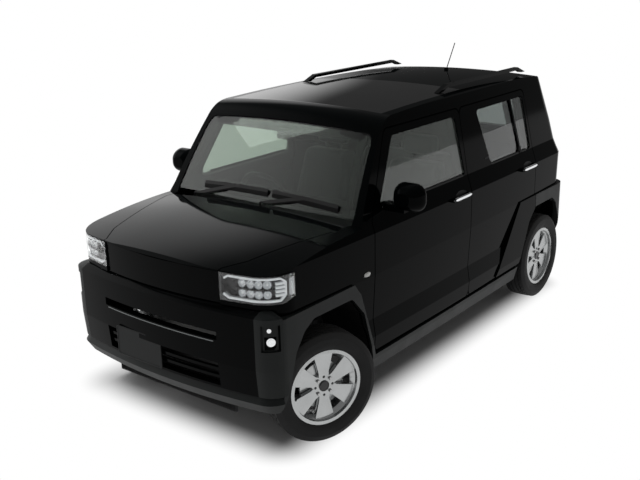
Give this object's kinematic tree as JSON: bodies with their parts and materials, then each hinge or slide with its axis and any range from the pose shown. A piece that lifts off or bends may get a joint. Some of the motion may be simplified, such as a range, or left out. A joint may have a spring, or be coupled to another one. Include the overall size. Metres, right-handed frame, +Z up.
{
  "type": "kei car",
  "caption": "Small boxy five-door kei car with roof rails, dark arch bands, alloy wheels, opening doors, bonnet and tailgate, and steered front wheels.",
  "frame": {"origin": "on the ground under the middle of the car", "axes": "+X forward, +Y to the left side of the car, +Z up"},
  "size_m": [3.3949, 1.8364, 1.7701],
  "materials": {
    "body_paint": "gloss",
    "floor_paint": "satin",
    "window_glass": "gloss",
    "roof_glass": "gloss",
    "clear_lamp": "gloss",
    "red_lamp": "gloss",
    "dark_plastic": "textured",
    "gloss_plastic": "gloss",
    "trim_plastic": "matte",
    "seat_fabric": "woven",
    "iron": "rough",
    "steel": "satin",
    "alloy": "machined",
    "tyre": "matte"
  },
  "bodies": {
    "chassis": {"antenna": "gloss_plastic", "body_side_left": "body_paint", "body_side_right": "body_paint", "bumper_corners": "dark_plastic", "claddings": "dark_plastic", "cowl_panel": "dark_plastic", "dashboard": "trim_plastic", "engine_block": "iron", "exhaust": "steel", "face_panel": "gloss_plastic", "fenders": "body_paint", "floor_pan": "floor_paint", "fog_lamps": "clear_lamp", "front_bumper": "gloss_plastic", "front_seat_left": "seat_fabric", "front_seat_right": "seat_fabric", "front_subframe": "iron", "fuel_tank": "steel", "headlamps": "clear_lamp", "rear_axle": "iron", "rear_bumper": "dark_plastic", "rear_seat": "seat_fabric", "roof_glass": "roof_glass", "roof_panel": "body_paint", "roof_rails": "gloss_plastic", "skid_guard": "dark_plastic", "tail_lamps": "red_lamp", "tail_panel": "floor_paint", "wheel_liners": "dark_plastic", "windscreen": "window_glass", "wipers": "dark_plastic"},
    "front_door_left": {"front_door_left": "body_paint", "front_door_glass_left": "window_glass", "mirror_left": "body_paint"},
    "front_door_right": {"front_door_right": "body_paint", "front_door_glass_right": "window_glass", "mirror_right": "body_paint"},
    "rear_door_left": {"rear_door_left": "body_paint", "rear_door_glass_left": "window_glass"},
    "rear_door_right": {"rear_door_right": "body_paint", "rear_door_glass_right": "window_glass"},
    "tailgate": {"tailgate": "body_paint", "tailgate_glass": "window_glass"},
    "bonnet": {"bonnet": "body_paint"},
    "steering_wheel": {"steering_wheel": "trim_plastic"},
    "knuckle_left": {"knuckle_left": "iron"},
    "knuckle_right": {"knuckle_right": "iron"},
    "wheel_front_left": {"tyre_front_left": "tyre", "rim_front_left": "alloy"},
    "wheel_front_right": {"tyre_front_right": "tyre", "rim_front_right": "alloy"},
    "wheel_rear_left": {"tyre_rear_left": "tyre", "rim_rear_left": "alloy"},
    "wheel_rear_right": {"tyre_rear_right": "tyre", "rim_rear_right": "alloy"}
  },
  "joints": [
    {"name": "steer_left", "type": "hinge", "parent": "chassis", "child": "knuckle_left", "pos_m": [1.1755, 0.592, 0.298], "axis": [0, 0, 1], "range_deg": [-13, 57]},
    {"name": "steer_right", "type": "hinge", "parent": "chassis", "child": "knuckle_right", "pos_m": [1.1755, -0.592, 0.298], "axis": [0, 0, 1], "range_deg": [-13, 57]},
    {"name": "steering_wheel_turn", "type": "hinge", "parent": "chassis", "child": "steering_wheel", "pos_m": [0.43, -0.34, 0.96], "axis": [-0.9135, 0, 0.4067], "range_deg": [-208, 912]},
    {"name": "roll_front_left", "type": "hinge", "parent": "knuckle_left", "child": "wheel_front_left", "pos_m": [1.19723, 0.64578, 0.298], "axis": [0.3746, 0.9272, 0], "continuous": true},
    {"name": "roll_front_right", "type": "hinge", "parent": "knuckle_right", "child": "wheel_front_right", "pos_m": [1.15377, -0.64578, 0.298], "axis": [0.3746, 0.9272, 0], "continuous": true},
    {"name": "roll_rear_left", "type": "hinge", "parent": "chassis", "child": "wheel_rear_left", "pos_m": [-1.2845, 0.6475, 0.298], "axis": [0, 1, 0], "continuous": true},
    {"name": "roll_rear_right", "type": "hinge", "parent": "chassis", "child": "wheel_rear_right", "pos_m": [-1.2845, -0.6475, 0.298], "axis": [0, 1, 0], "continuous": true},
    {"name": "front_door_left_hinge", "type": "hinge", "parent": "chassis", "child": "front_door_left", "pos_m": [0.8, 0.731, 1.008], "axis": [0, 0, -1], "range_deg": [0, 66]},
    {"name": "rear_door_left_hinge", "type": "hinge", "parent": "chassis", "child": "rear_door_left", "pos_m": [-0.222, 0.731, 1.008], "axis": [0, 0, -1], "range_deg": [0, 66]},
    {"name": "front_door_right_hinge", "type": "hinge", "parent": "chassis", "child": "front_door_right", "pos_m": [0.8, -0.731, 1.008], "axis": [0, 0, 1], "range_deg": [0, 66]},
    {"name": "rear_door_right_hinge", "type": "hinge", "parent": "chassis", "child": "rear_door_right", "pos_m": [-0.222, -0.731, 1.008], "axis": [0, 0, 1], "range_deg": [0, 66]},
    {"name": "tailgate_hinge", "type": "hinge", "parent": "chassis", "child": "tailgate", "pos_m": [-1.402, 0, 1.538], "axis": [0, 1, 0], "range_deg": [0, 84]},
    {"name": "bonnet_hinge", "type": "hinge", "parent": "chassis", "child": "bonnet", "pos_m": [0.956, 0, 1.04], "axis": [0, -1, 0], "range_deg": [0, 52]}
  ],
  "couplings": [
    {"joint": "steer_right", "follows": "steer_left", "ratio": 1},
    {"joint": "steering_wheel_turn", "follows": "steer_left", "ratio": 16}
  ]
}
